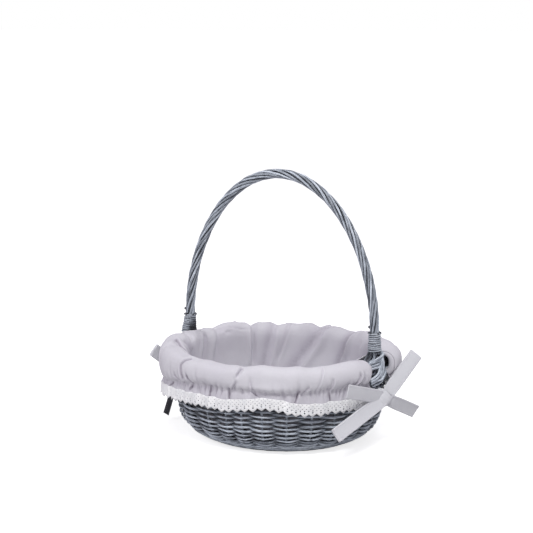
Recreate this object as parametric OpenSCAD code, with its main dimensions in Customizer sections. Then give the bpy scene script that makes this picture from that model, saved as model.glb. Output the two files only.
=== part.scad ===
// Oval wicker basket with a fixed hoop handle and a tied fabric liner.
// X runs along the basket from foot to foot of the handle, -Y is the front, Z is up.
// The origin is the middle of the underside. All lengths are in millimetres.

/* [Basket] */
// Length over the outside of the wall, along X
rim_length = 246; // [240:1:252]
// Width over the outside of the wall, along Y
rim_width = 220; // [214:1:224]
// How far the wall draws in at its foot, on each side
foot_inset = 35; // [30:1:38]
// Height over which the wall turns from the foot towards upright
foot_sweep = 12.5; // [11:0.5:14]
// Height of the top of the woven wall
wall_top = 89.8; // [88:0.1:90]
// Height of the thick band at the foot
foot_wale_height = 7; // [6:0.5:9]
// Thickness of the weave outside the stakes
weave_depth = 3.3; // [3:0.1:3.4]
// Thickness of a side stake
stake_d = 3.2; // [2.6:0.1:3.4]
// Stakes round the wall
stakes = 26; // [22:2:30]
// Thickness of the border rope
border_d = 9.2; // [8:0.2:9.2]

/* [Base] */
// Thickness of the woven base
base_thick = 8; // [7.5:0.1:8]
// Thickness of a long stick of the base cross
long_stick_d = 3.2; // [2.8:0.1:3.4]
// Thickness of a short stick of the base cross
short_stick_d = 5; // [4.6:0.1:5.4]
// Sticks each way in the base cross
cross_sticks = 4; // [3:1:5]

/* [Handle] */
// Height of the middle of the handle's rope at its top
handle_top = 298; // [285:1:305]
// Height where the legs turn into the arch
spring_height = 128; // [126:1:132]
// Half of the distance between the legs
handle_reach = 117; // [116.8:0.1:117.2]
// Thickness of the core rod
core_d = 4.9; // [4:0.1:4.9]
// Thickness of a twisted rod
twist_rod_d = 3; // [2.4:0.1:3]
// Length of handle that a twisted rod takes to go once round the core
twist_lay = 125; // [110:5:200]
// Turns of cane in a collar
collar_turns = 9; // [7:1:9]

/* [Liner] */
// Thickness of the folded liner cloth
cloth = 1.8; // [1:0.1:1.8]
// Radius of the puffed fold-over, seen from its end
roll_radius = 12.5; // [12.2:0.1:13]
// Height of the bottom of the frill
ruffle_bottom = 64; // [62:1:66]
// Height of the lowest lace point
lace_bottom = 52; // [50:1:54]
// Front side of the slot round a handle foot
slot_front = -28; // [-32:1:-24]
// Back side of the slot round a handle foot
slot_back = 16; // [15:1:20]

/* [Bows] */
// Width of a tie
tie_width = 15.5; // [12:0.5:16]
// Thickness of a tie
tie_thick = 1.2; // [0.8:0.1:1.6]
// Thickness of a pressed loop
loop_thick = 4; // [3:0.5:4.5]
// Thickness of a knot
knot_d = 11; // [9:0.5:12]

/* [Hidden] */

willow = [0.47, 0.50, 0.54];
willow_dark = [0.36, 0.39, 0.43];
willow_pale = [0.56, 0.59, 0.63];
linen = [0.81, 0.80, 0.84];
linen_shade = [0.72, 0.70, 0.76];
cotton = [0.95, 0.96, 0.96];
rubber_white = [0.88, 0.88, 0.86];

gap = 0.1;
beyond = 200;

rim_a = rim_length / 2;
oval_ratio = rim_width / rim_length;

// The wall's outline, and points at a depth under it, measured square to the wall.
stake_depth = weave_depth + stake_d / 2 + gap;
inner_depth = stake_depth + stake_d / 2;
liner_depth = inner_depth + 0.7;
function wall_a(z) = rim_a - foot_inset * exp(-z / foot_sweep);
function wall_slope(z) = foot_inset / foot_sweep * exp(-z / foot_sweep);
function under(z, d) = let (s = wall_slope(z), n = sqrt(1 + s * s)) [wall_a(z) - d / n, z + d * s / n];
function wall_line(z0, z1, d, steps = 9) =
    [for (i = [0:steps]) under(z0 + (z1 - z0) * pow(i / steps, 1.5), d)];
function backwards(v) = [for (i = [len(v) - 1:-1:0]) v[i]];

base_edge = wall_a(0) - 7.4;
floor_edge = wall_a(0) + 1.1;

// Sweeps a profile, drawn at its distance from the middle along X, round part of the oval outline.
module oval_arc(start, turn) {
    scale([1, oval_ratio, 1]) rotate(start) rotate_extrude(angle = turn, $fn = 96) children();
}

module oval_sweep() {
    for (side = [0, 180]) oval_arc(side, 180) children();
}

// A flat oval plate of four arcs, with its end on X at the distance a.
module flat_oval(a, thick) {
    narrow = a * (1 - oval_ratio);
    end_shift = a / 4;
    side_shift = narrow * (2 * end_shift - narrow) / (2 * (end_shift - narrow));
    join_angle = atan(side_shift / end_shift);
    end_r = a - end_shift;
    side_r = a - narrow + side_shift;
    linear_extrude(thick) {
        intersection() {
            translate([0, -side_shift]) circle(r = side_r, $fn = 160);
            translate([0, side_shift]) circle(r = side_r, $fn = 160);
            square([2 * (end_shift + end_r * cos(join_angle)), 2 * side_r], center = true);
        }
        for (s = [-1, 1]) translate([s * end_shift, 0]) circle(r = end_r, $fn = 120);
    }
}

module front_half() {
    intersection() {
        children();
        translate([-beyond, -beyond, -1]) cube([2 * beyond, beyond + slot_front, beyond]);
    }
}

module back_half() {
    intersection() {
        children();
        translate([-beyond, slot_back, -1]) cube([2 * beyond, beyond, beyond]);
    }
}

// A round rod from p to q.
module rod(p, q, d) {
    v = q - p;
    translate(p) rotate([0, acos(v[2] / norm(v)), atan2(v[1], v[0])]) cylinder(h = norm(v), d = d, $fn = 24);
}

// A bent rod along pts. side is a direction that the rod is never parallel to.
module bent_rod(pts, d, side, sides = 6) {
    last = len(pts) - 1;
    rings = [for (i = [0:last])
        let (t = pts[min(i + 1, last)] - pts[max(i - 1, 0)],
             u = cross(t, side) / norm(cross(t, side)),
             v = cross(t, u) / norm(t))
        for (j = [0:sides - 1]) pts[i] + d / 2 * (cos(360 * j / sides) * u + sin(360 * j / sides) * v)];
    skin = [for (i = [0:last - 1], j = [0:sides - 1])
        let (k = (j + 1) % sides)
        [i * sides + j, (i + 1) * sides + j, (i + 1) * sides + k, i * sides + k]];
    first_cap = [for (j = [0:sides - 1]) j];
    last_cap = [for (j = [sides - 1:-1:0]) last * sides + j];
    polyhedron(points = rings, faces = concat([first_cap], skin, [last_cap]), convexity = 6);
}

// Base: a cross of sticks with the weave round it.
stick_z = base_thick / 2;
stick_pitch = 7;
cross_offsets = [for (i = [0:cross_sticks - 1]) (i - (cross_sticks - 1) / 2) * stick_pitch];

module long_sticks(extra = 0) {
    for (y = cross_offsets) {
        reach = base_edge - 6;
        translate([0, y, stick_z]) rotate([0, 90, 0])
            cylinder(h = 2 * reach + 2 * extra, d = long_stick_d + 2 * extra, center = true, $fn = 24);
    }
}

module short_sticks(extra = 0) {
    for (x = cross_offsets) {
        reach = base_edge * oval_ratio - 6;
        translate([x, 0, stick_z]) rotate([90, 0, 0])
            cylinder(h = 2 * reach + 2 * extra, d = short_stick_d + 2 * extra, center = true, $fn = 24);
    }
}

module base_long_sticks() { color(willow_dark) long_sticks(); }

module base_short_sticks() {
    color(willow_dark) difference() {
        short_sticks();
        long_sticks(gap);
    }
}

module base_weave() {
    color(willow) difference() {
        flat_oval(base_edge, base_thick);
        long_sticks(gap);
        short_sticks(gap);
    }
}

// Wall: the thick band at the foot, the stakes, the weave outside them and the border on top.
module foot_wale() {
    inner = base_edge + gap;
    color(willow_dark) oval_sweep() polygon(concat([[inner, 0]], wall_line(0, foot_wale_height, 0, 5),
        backwards(wall_line(0.4, foot_wale_height, weave_depth, 4)), [[inner, 3.2]]));
}

module wall_weave() {
    low = foot_wale_height + gap;
    color(willow) oval_sweep() polygon(concat(wall_line(low, wall_top, 0),
        backwards(wall_line(low, wall_top, weave_depth))));
}

// A stake stands in the plane square to the outline at its angle.
stake_line = concat([[base_edge + 1.2, 4.9]], wall_line(3, wall_top - 0.5, stake_depth, 7));

module stake(angle) {
    out = [oval_ratio * cos(angle), sin(angle)] / norm([oval_ratio * cos(angle), sin(angle)]);
    foot = rim_a * [cos(angle), oval_ratio * sin(angle)];
    pts = [for (p = stake_line) [foot[0] + (p[0] - rim_a) * out[0], foot[1] + (p[0] - rim_a) * out[1], p[1]]];
    bent_rod(pts, stake_d, [-out[1], out[0], 0]);
}

module side_stakes() {
    color(willow_dark) for (i = [0:stakes - 1]) stake((i + 0.5) * 360 / stakes);
}

border_a = rim_a - border_d / 2;
border_z = wall_top + gap + border_d / 2;
leg_x = handle_reach - 0.3;

module rim_border() {
    color(willow_dark) difference() {
        oval_sweep() translate([border_a, border_z]) circle(d = border_d, $fn = 32);
        for (s = [-1, 1]) translate([s * leg_x, 0, wall_top - 2])
            cylinder(h = 16, d = core_d + 0.6, $fn = 32);
    }
}

// Handle: half an ellipse on two short legs, its core pushed down inside the wall.
core_end = 55;
rod_end = 106;
shoulder = 1.05;
arch_steps = 30;
rise = handle_top - spring_height;
function arch(t) = [handle_reach * cos(t), 0, spring_height + rise * pow(sin(t), shoulder)];
arch_line = [for (i = [0:arch_steps]) arch(180 * i / arch_steps)];
right_leg = [[leg_x, 0, core_end], [leg_x, 0, 80], [leg_x, 0, rod_end]];
left_leg = [[-leg_x, 0, rod_end], [-leg_x, 0, 80], [-leg_x, 0, core_end]];
rod_line = concat([right_leg[2]], arch_line, [left_leg[0]]);
rod_travel = [for (i = 0, s = 0; i < len(rod_line);
    s = s + (i + 1 < len(rod_line) ? norm(rod_line[i + 1] - rod_line[i]) : 0), i = i + 1) s];
twist_r = (core_d + twist_rod_d) / 2 + 0.15;

module handle_core() {
    color(willow_dark) bent_rod(concat([right_leg[0], right_leg[1]], rod_line, [left_leg[1], left_leg[2]]),
        core_d, [0, 1, 0], 8);
}

module handle_rod(index) {
    last = len(rod_line) - 1;
    pts = [for (i = [0:last])
        let (t = rod_line[min(i + 1, last)] - rod_line[max(i - 1, 0)],
             out = cross(t, [0, 1, 0]) / norm(t),
             turn = 45 * index - 360 * rod_travel[i] / twist_lay)
        rod_line[i] + twist_r * (cos(turn) * out + sin(turn) * [0, 1, 0])];
    color(index % 2 == 0 ? willow : willow_pale) bent_rod(pts, twist_rod_d, [0, 1, 0]);
}

collar_low = 105;
collar_pitch = 2.45;
collar_bore = twist_r + twist_rod_d / 2 + 0.15;
collar_skin = 0.3;
collar_flare = 1.1;
collar_bulge = 0.7;

module handle_wrap(side) {
    color(willow_pale) translate([side * leg_x, 0, collar_low]) rotate_extrude($fn = 48) {
        for (i = [0:collar_turns - 1])
            translate([collar_bore + collar_skin + collar_flare * (1 - i / collar_turns)
                + collar_bulge - collar_pitch / 2, (i + 0.5) * collar_pitch])
                intersection() {
                    circle(d = collar_pitch, $fn = 24);
                    translate([collar_pitch / 2 - collar_bulge - 0.3, -collar_pitch / 2])
                        square(collar_pitch);
                }
        translate([collar_bore, 0]) square([collar_skin, collar_turns * collar_pitch]);
        polygon([[collar_bore, 0], [collar_bore + collar_skin + collar_flare, 0],
            [collar_bore + collar_skin + 0.1, collar_turns * collar_pitch],
            [collar_bore, collar_turns * collar_pitch]]);
    }
}

// The splayed rod ends lie just outside the border, side by side under the collar.
foot_rods = 6;
foot_rod_d = 3;
foot_rod_low = 79;

module handle_foot(side) {
    x = rim_a + foot_rod_d / 2 + 0.4;
    color(willow) for (i = [0:foot_rods - 1]) {
        spread = i - (foot_rods - 1) / 2;
        rod([side * (x - 1.2), spread * 3.15, collar_low - 0.6], [side * x, spread * 4.6, foot_rod_low],
            foot_rod_d);
    }
}

// Liner: floor and four sewn wall panels inside the basket, then the fold-over roll, elastic,
// frill and lace outside it.
module liner_floor() { color(linen_shade) translate([0, 0, base_thick + 0.6]) flat_oval(floor_edge, cloth); }

throat_a = rim_a - border_d - 1.6;
roll_a = rim_a - 0.5;
roll_z = 91.5;

panel_top = roll_z + 4.8;

module liner_panel(start) {
    low = 2;
    high = 70;
    seam = 0.1;
    color(linen_shade) oval_arc(start + seam, 90 - 2 * seam)
        polygon(concat(wall_line(low, high, liner_depth),
            [[throat_a, 90], [throat_a, panel_top], [throat_a - cloth, panel_top], [throat_a - cloth, 90]],
            backwards(wall_line(low, high, liner_depth + cloth))));
}
module liner_panel_right() { liner_panel(-45); }
module liner_panel_back() { liner_panel(45); }
module liner_panel_left() { liner_panel(135); }
module liner_panel_front() { liner_panel(225); }

// The fold-over is a round roll with its lower inner part open, ending in the flat casing of the elastic.
casing_a = rim_a + 3;
casing_low = 75.3;
casing_high = 81;

module roll_profile() {
    translate([roll_a, roll_z]) difference() {
        circle(r = roll_radius, $fn = 72);
        circle(r = roll_radius - cloth, $fn = 72);
        polygon([[0, 0], [-20, 9], [-20, -20], [5.2, -20], [4.2, -10]]);
    }
    translate([casing_a, casing_low]) square([cloth, casing_high - casing_low]);
}

module liner_roll_front() { color(linen) front_half() oval_sweep() roll_profile(); }
module liner_roll_back() { color(linen) back_half() oval_sweep() roll_profile(); }

module elastic_band() { oval_sweep() translate([casing_a - 1, casing_low + 0.5]) square([0.8, 4]); }
module elastic_front() { color(rubber_white) front_half() elastic_band(); }
module elastic_back() { color(rubber_white) back_half() elastic_band(); }

module ruffle() {
    oval_sweep() translate([casing_a + 0.2, ruffle_bottom])
        square([cloth, casing_low - gap - ruffle_bottom]);
}
module ruffle_front() { color(linen_shade) front_half() ruffle(); }
module ruffle_back() { color(linen_shade) back_half() ruffle(); }

lace_a = casing_a + cloth + 0.4;
lace_high = ruffle_bottom + 1.5;
module lace() { oval_sweep() translate([lace_a, lace_bottom]) square([0.9, lace_high - lace_bottom]); }
module lace_front() { color(cotton) front_half() lace(); }
module lace_back() { color(cotton) back_half() lace(); }

// Bows: each strap leaves the knot at its own heading, climb and roll, in degrees.
knot_right = [131.5, -4, 57];
knot_left = [-131.5, 4, 57];
strap_start = 7;
tail_sink = 3.2;

module strap(knot, reach, heading, climb, roll, thick, sink = 0) {
    translate(knot) rotate(heading) rotate([0, -climb, 0]) rotate([roll, 0, 0])
        translate([strap_start, -tie_width / 2, -thick / 2 + sink])
            cube([reach - strap_start, tie_width, thick]);
}

module knot(place, heading, climb, roll) {
    translate(place) rotate(heading) rotate([0, -climb, 0]) rotate([roll, 0, 0]) rotate([90, 0, 0])
        cylinder(h = tie_width, d = knot_d, center = true, $fn = 32);
}

module bow_right_knot() { color(linen) knot(knot_right, -105, -26, -52); }
module bow_right_loop_front() { color(linen) strap(knot_right, 90, -103, -14.5, -58.5, loop_thick); }
module bow_right_loop_back() { color(linen) strap(knot_right, 68, 73, 36, -129, loop_thick); }
module bow_right_tail_front() { color(linen) strap(knot_right, 68, -101.5, 18, -93, tie_thick, tail_sink); }
module bow_right_tail_back() { color(linen) strap(knot_right, 52, 67, -26, -70.5, tie_thick, -tail_sink); }

module bow_left_knot() { color(linen) knot(knot_left, 75, -26, -52); }
module bow_left_loop_front() { color(linen) strap(knot_left, 55, -105, 36.5, -103, loop_thick); }
module bow_left_loop_back() { color(linen) strap(knot_left, 80, 77, -14.5, -58.5, loop_thick); }
module bow_left_tail_front() { color(linen) strap(knot_left, 53, -101, -61, -46, tie_thick, -tail_sink); }
module bow_left_tail_back() { color(linen) strap(knot_left, 62, 78.5, 18, -93, tie_thick, tail_sink); }

base_long_sticks();
base_short_sticks();
base_weave();
foot_wale();
side_stakes();
wall_weave();
rim_border();
handle_core();
handle_rod(1);  // handle_rod_1
handle_rod(2);  // handle_rod_2
handle_rod(3);  // handle_rod_3
handle_rod(4);  // handle_rod_4
handle_rod(5);  // handle_rod_5
handle_rod(6);  // handle_rod_6
handle_rod(7);  // handle_rod_7
handle_rod(8);  // handle_rod_8
handle_wrap(-1);  // handle_wrap_left
handle_wrap(1);  // handle_wrap_right
handle_foot(-1);  // handle_foot_left
handle_foot(1);  // handle_foot_right
liner_floor();
liner_panel_front();
liner_panel_right();
liner_panel_back();
liner_panel_left();
liner_roll_front();
liner_roll_back();
elastic_front();
elastic_back();
ruffle_front();
ruffle_back();
lace_front();
lace_back();
bow_right_knot();
bow_right_loop_front();
bow_right_loop_back();
bow_right_tail_front();
bow_right_tail_back();
bow_left_knot();
bow_left_loop_front();
bow_left_loop_back();
bow_left_tail_front();
bow_left_tail_back();
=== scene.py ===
import math

import bpy
import numpy as np
from mathutils import Matrix, Vector


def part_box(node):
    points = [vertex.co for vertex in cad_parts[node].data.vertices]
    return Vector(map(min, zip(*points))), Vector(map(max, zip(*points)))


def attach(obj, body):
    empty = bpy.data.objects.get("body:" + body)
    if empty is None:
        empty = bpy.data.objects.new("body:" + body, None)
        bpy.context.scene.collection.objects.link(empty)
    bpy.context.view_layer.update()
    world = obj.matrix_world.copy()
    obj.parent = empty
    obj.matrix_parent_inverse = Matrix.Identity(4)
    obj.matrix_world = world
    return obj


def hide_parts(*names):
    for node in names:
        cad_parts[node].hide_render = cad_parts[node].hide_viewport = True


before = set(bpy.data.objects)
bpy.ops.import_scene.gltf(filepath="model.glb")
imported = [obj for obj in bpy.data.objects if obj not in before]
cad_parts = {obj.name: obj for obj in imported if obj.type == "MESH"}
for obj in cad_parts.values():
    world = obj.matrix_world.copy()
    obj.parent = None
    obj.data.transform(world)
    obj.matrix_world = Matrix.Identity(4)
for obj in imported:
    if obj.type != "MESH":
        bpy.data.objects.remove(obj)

# The looks of an oval wicker basket with a twisted hoop handle and a gathered fabric liner.
# Lengths in this script are in millimetres and are turned into metres when a mesh is made.
# X runs from foot to foot of the handle, -Y is the front and Z is up.

MM = 0.001
TURN = 2 * math.pi
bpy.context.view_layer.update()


# ---------------------------------------------------------------- sizes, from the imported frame

def box_mm(node):
    low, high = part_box(node)
    return np.array(low) / MM, np.array(high) / MM


border_box = box_mm("rim_border")
core_box = box_mm("handle_core")
collar_box = box_mm("handle_wrap_right")
elastic_box = box_mm("elastic_front")
ruffle_box = box_mm("ruffle_front")
foot_box = box_mm("foot_wale")
weave_box = box_mm("wall_weave")
base_box = box_mm("base_weave")
roll_box = box_mm("liner_roll_front")
roll_back_box = box_mm("liner_roll_back")

RIM_A = border_box[1][0]
RATIO = border_box[1][1] / RIM_A
BORDER_R = (border_box[1][2] - border_box[0][2]) / 2
BORDER_A = RIM_A - BORDER_R
BORDER_Z = (border_box[1][2] + border_box[0][2]) / 2
WALL_TOP = weave_box[1][2]
BASE_EDGE = base_box[1][0]
FOOT_INSET = 35         # how far the wall draws in at the ground
FOOT_SWEEP = 12.5       # height over which it does
STAKES = 26
STAKE_DEPTH = 4.7       # depths under the wall's outline: of a stake,
FRONT_DEPTH = 1.45      # of a weaver in front of it
BEHIND_DEPTH = 7.4      # and of one behind it
WEAVER_R = 1.36
ROW_PITCH = 2.84
SLOT_FRONT = roll_box[1][1]
SLOT_BACK = roll_back_box[0][1]
LINER_DEPTH = 10.4
CLOTH = 0.8             # thickness of the liner
ARC = 116.0             # mean radius of the rim, which turns angles into lengths along it


def unit(v):
    return v / np.linalg.norm(v, axis=-1, keepdims=True)


def bell(value, width):
    return np.exp(-(value / width) ** 2)


def travelled(path):
    """Length along a path from its start to each of its points."""
    return np.concatenate([[0], np.cumsum(np.linalg.norm(np.diff(path, axis=0), axis=1))])


def wall_a(z):
    """Half length of the wall's outline at height z."""
    return RIM_A - FOOT_INSET * np.exp(-np.asarray(z, float) / FOOT_SWEEP)


def under(z, depth):
    """Half length and height of the point at a depth under the wall's outline at height z."""
    z = np.asarray(z, float)
    slope = FOOT_INSET / FOOT_SWEEP * np.exp(-z / FOOT_SWEEP)
    n = np.sqrt(1 + slope * slope)
    return wall_a(z) - depth / n, z + depth * slope / n


_z = np.linspace(0, WALL_TOP + 6, 400)
_a = wall_a(_z)
_arc = np.concatenate([[0], np.cumsum(np.hypot(np.diff(_a), np.diff(_z)))])


def height_at(arc):
    """Height on the wall's outline at a length along it from the foot."""
    return np.interp(arc, _arc, _z)


def arc_at(z):
    return np.interp(z, _z, _arc)


def oval(a, angle, z):
    a, angle, z = np.broadcast_arrays(a, angle, z)
    return np.stack([a * np.cos(angle), a * RATIO * np.sin(angle), z], -1).astype(float)


CROWD_AT, CROWD_SHIFT, CROWD_WIDTH = math.radians(-113), math.radians(8.5), math.radians(22)


def wrap(angle):
    return (np.asarray(angle) + math.pi) % TURN - math.pi


def stake_angle(u):
    """Angle of stake number u round the wall. They stand closer together at the front left."""
    angle = (np.asarray(u, float) + 0.5) * TURN / STAKES
    return angle + CROWD_SHIFT * bell(wrap(angle - CROWD_AT), CROWD_WIDTH)


def ripple(angle, waves, rng):
    """A smooth random wave round the oval: waves holds (number of waves, height)."""
    out = np.zeros(np.shape(angle))
    for count, height in waves:
        out = out + height * np.sin(count * angle + rng.uniform(0, TURN))
    return out


def smooth_curve(points, count=None, step=None):
    """Points at even spacing along a smooth curve through the given points."""
    p = np.array(points, float)
    t = travelled(p)
    m = np.gradient(p, t, axis=0)
    dense = np.linspace(0, t[-1], 40 * len(p))
    k = np.clip(np.searchsorted(t, dense, side="right") - 1, 0, len(t) - 2)
    h = (t[k + 1] - t[k])[:, None]
    f = (dense - t[k])[:, None] / h
    curve = ((2 * f**3 - 3 * f**2 + 1) * p[k] + (f**3 - 2 * f**2 + f) * h * m[k]
             + (3 * f**2 - 2 * f**3) * p[k + 1] + (f**3 - f**2) * h * m[k + 1])
    s = travelled(curve)
    n = count or max(2, int(round(s[-1] / step)) + 1)
    want = np.linspace(0, s[-1], n)
    return np.stack([np.interp(want, s, curve[:, i]) for i in range(p.shape[1])], 1)


# ---------------------------------------------------------------- making meshes

def link(name, data):
    obj = bpy.data.objects.new(name, data)
    bpy.context.scene.collection.objects.link(obj)
    return obj


def make_object(name, points, faces, material, attributes=(), uv=None):
    mesh = bpy.data.meshes.new(name)
    mesh.from_pydata((np.asarray(points) * MM).tolist(), [], faces)
    for title, kind, values in attributes:
        layer = mesh.attributes.new(title, kind, "POINT")
        field = "value" if kind == "FLOAT" else "vector"
        layer.data.foreach_set(field, np.asarray(values, np.float32).ravel())
    if uv is not None:
        layer = mesh.uv_layers.new(name="cloth")
        corner = np.zeros(len(mesh.loops), np.int32)
        mesh.loops.foreach_get("vertex_index", corner)
        layer.data.foreach_set("uv", (np.asarray(uv) * MM)[corner].astype(np.float32).ravel())
    mesh.materials.append(material)
    mesh.polygons.foreach_set("use_smooth", [True] * len(mesh.polygons))
    mesh.update()
    return link(name, mesh)


def place(obj, slot, *nodes):
    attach(obj, "root")
    if nodes:
        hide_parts(*nodes)


class Rods:
    """Round rods, each a tube along a path, gathered into one mesh."""

    def __init__(self, seed):
        self.rng = np.random.default_rng(seed)
        self.points, self.grain, self.tone, self.painted_shade = [], [], [], []
        self.faces, self.count = [], 0

    def add(self, path, radius, hint, sides=8, tone=None, closed=False, flat=1.0, recess=None):
        path = np.asarray(path, float)
        n = len(path)
        radius = np.broadcast_to(np.asarray(radius, float), n)
        if closed:
            tangent = np.roll(path, -1, 0) - np.roll(path, 1, 0)
        else:
            tangent = np.gradient(path, axis=0)
        tangent = unit(tangent)
        side = unit(np.cross(tangent, np.broadcast_to(np.asarray(hint, float), (n, 3))))
        up = np.cross(tangent, side)
        angle = TURN * np.arange(sides) / sides
        around = (np.cos(angle)[None, :, None] * side[:, None, :]
                  + flat * np.sin(angle)[None, :, None] * up[:, None, :])
        ring = path[:, None, :] + radius[:, None, None] * around
        along = travelled(path)
        offset = self.rng.uniform(0, 60, 3)
        grain = np.stack([np.broadcast_to(along[:, None] * 0.045, (n, sides)),
                          np.broadcast_to(np.cos(angle), (n, sides)),
                          np.broadcast_to(np.sin(angle), (n, sides))], -1) + offset
        shade = self.rng.uniform(0, 1) if tone is None else tone
        first = self.count
        last = n if closed else n - 1
        for i in range(last):
            a, b = first + i * sides, first + (i + 1) % n * sides
            for j in range(sides):
                k = (j + 1) % sides
                self.faces.append((a + j, a + k, b + k, b + j))
        if not closed:
            self.faces.append(tuple(first + j for j in reversed(range(sides))))
            self.faces.append(tuple(first + (n - 1) * sides + j for j in range(sides)))
        self.points.append(ring.reshape(-1, 3))
        self.grain.append(grain.reshape(-1, 3))
        self.tone.append(np.full(n * sides, shade))
        # painted shade of the rod, darker in recesses where the light does not reach
        self.painted_shade.append(recess(ring).ravel() if recess else np.zeros(n * sides))
        self.count += n * sides

    def build(self, name, material):
        return make_object(name, np.concatenate(self.points), self.faces, material,
                           [("grain", "FLOAT_VECTOR", np.concatenate(self.grain)),
                            ("tone", "FLOAT", np.concatenate(self.tone)),
                            ("painted_shade", "FLOAT", np.concatenate(self.painted_shade))])


def grid_faces(rows, columns):
    return [(r * columns + c, r * columns + c + 1, (r + 1) * columns + c + 1, (r + 1) * columns + c)
            for r in range(rows - 1) for c in range(columns - 1)]


def thicken(obj, thickness, offset=-1.0):
    modifier = obj.modifiers.new("thickness", "SOLIDIFY")
    modifier.thickness = thickness * MM
    modifier.offset = offset
    modifier.use_even_offset = False


# ---------------------------------------------------------------- materials

class Tree:
    """The nodes of a material or of the world, with short ways to add and feed them."""

    def __init__(self, owner):
        owner.use_nodes = True
        self.owner = owner
        self.nodes, self.links = owner.node_tree.nodes, owner.node_tree.links

    def feed(self, node, inputs):
        """Sets each named input to a value, or links it to the output given for it."""
        for socket, value in inputs.items():
            if isinstance(value, bpy.types.NodeSocket):
                self.links.new(value, node.inputs[socket])
            else:
                node.inputs[socket].default_value = value

    def add(self, kind, inputs):
        node = self.nodes.new(kind)
        self.feed(node, inputs)
        return node

    def show(self, to_camera, to_others, output):
        """Shows one shader to the camera and the other one to all other rays."""
        seen = self.nodes.new("ShaderNodeLightPath")
        mix = self.add("ShaderNodeMixShader", {"Fac": seen.outputs["Is Camera Ray"],
                                               1: to_others, 2: to_camera})
        self.feed(self.nodes[output], {"Surface": mix.outputs["Shader"]})


class Shading(Tree):
    """A material with one principled shader."""

    def __init__(self, name, roughness):
        super().__init__(bpy.data.materials.new(name))
        self.shader = self.nodes["Principled BSDF"]
        self.feed(self.shader, {"Roughness": roughness})

    def attribute(self, title, output="Fac"):
        node = self.nodes.new("ShaderNodeAttribute")
        node.attribute_name = title
        return node.outputs[output]

    def place(self):
        return self.nodes.new("ShaderNodeTexCoord").outputs["Object"]

    def noise(self, vector, scale, detail, roughness):
        return self.add("ShaderNodeTexNoise", {"Vector": vector, "Scale": scale, "Detail": detail,
                                               "Roughness": roughness}).outputs["Fac"]

    def math(self, operation, *values):
        node = self.add("ShaderNodeMath", dict(enumerate(values)))
        node.operation = operation
        return node.outputs[0]

    def total(self, first, *parts):
        """The first value, plus each other value times its share."""
        for value, share in parts:
            first = self.math("ADD", first, self.math("MULTIPLY", value, share))
        return first

    def ramp(self, value, stops):
        node = self.add("ShaderNodeValToRGB", {"Fac": value})
        elements = node.color_ramp.elements
        while len(elements) < len(stops):
            elements.new(0.5)
        for element, (position, colour) in zip(elements, stops):
            element.position = position
            element.color = (*colour, 1)
        return node.outputs["Color"]

    def bump(self, height, strength, distance, below=None):
        inputs = {"Height": height, "Strength": strength, "Distance": distance}
        if below is not None:
            inputs["Normal"] = below
        return self.add("ShaderNodeBump", inputs).outputs["Normal"]

    def made(self, inputs):
        self.feed(self.shader, inputs)
        return self.owner


def willow(name, gain):
    """Grey-blue stained willow: streaked along each rod, each rod its own tone, darkened with painted
    shade in the recesses.
    """
    m = Shading(name, 0.5)
    grain = m.attribute("grain", "Vector")
    streak = m.noise(grain, 2.2, 5, 0.65)
    mixed = m.total(m.math("MULTIPLY_ADD", streak, 1.45, -0.40), (m.noise(grain, 0.9, 3, 0.5), 0.50),
                    (m.attribute("tone"), 0.24), (m.attribute("painted_shade"), -0.52))
    stops = [(0.26, (0.012, 0.013, 0.018)), (0.44, (0.075, 0.083, 0.100)),
             (0.60, (0.235, 0.262, 0.300)), (0.74, (0.400, 0.440, 0.495)),
             (0.92, (0.600, 0.645, 0.700))]
    shape = m.bump(streak, 0.7, 0.0009)
    return m.made({
        "Base Color": m.ramp(mixed, [(p, tuple(min(1, gain * c) for c in rgb)) for p, rgb in stops]),
        "Roughness": m.ramp(streak, [(0.3, (0.62,) * 3), (0.75, (0.36,) * 3)]),
        "Normal": m.bump(m.noise(grain, 5.5, 4, 0.7), 0.4, 0.0004, shape)})


def object_willow(name):
    """The same stained willow for a part that carries no grain of its own."""
    m = Shading(name, 0.55)
    stretch = m.add("ShaderNodeMapping", {"Vector": m.place(), "Scale": (900, 900, 60)})
    streak = m.noise(stretch.outputs["Vector"], 1.0, 5, 0.6)
    return m.made({
        "Base Color": m.ramp(streak, [(0.3, (0.05, 0.056, 0.066)), (0.7, (0.24, 0.265, 0.30))]),
        "Normal": m.bump(streak, 0.5, 0.0004)})


def woven_cloth(name, light, shade, painted_shade, thread, weave_depth, fuzz):
    """Fine plain-woven cloth: crossing threads, slubs, a faint change of tone, a soft sheen, and painted
    shade from the mesh down to the darkest colour.
    """
    m = Shading(name, 0.82)
    flat = m.nodes.new("ShaderNodeUVMap")
    flat.uv_map = "cloth"
    split = m.add("ShaderNodeSeparateXYZ", {"Vector": flat.outputs["UV"]})
    waves = [m.math("SINE", m.math("MULTIPLY", split.outputs[axis], TURN / thread))
             for axis in ("X", "Y")]
    broad = m.noise(m.place(), 22, 3, 0.5)
    slub = m.noise(m.place(), 420, 4, 0.6)
    # painted shade from the mesh pulls the colour towards the darkest stop
    mixed = m.total(0.33, (broad, 0.32), (slub, 0.16), (m.attribute("fold"), -0.5))
    shape = m.bump(m.math("MULTIPLY", *waves), weave_depth, 0.00012)
    return m.made({
        "Base Color": m.ramp(mixed, [(0.0, painted_shade), (0.36, shade), (0.62, light)]),
        "Roughness": m.ramp(slub, [(0.3, (0.74,) * 3), (0.7, (0.9,) * 3)]),
        "Normal": m.bump(slub, 0.25, 0.0003, shape), "Specular IOR Level": 0.25,
        "Sheen Weight": fuzz, "Sheen Roughness": 0.45, "Sheen Tint": (0.93, 0.9, 0.97, 1)})


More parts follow.
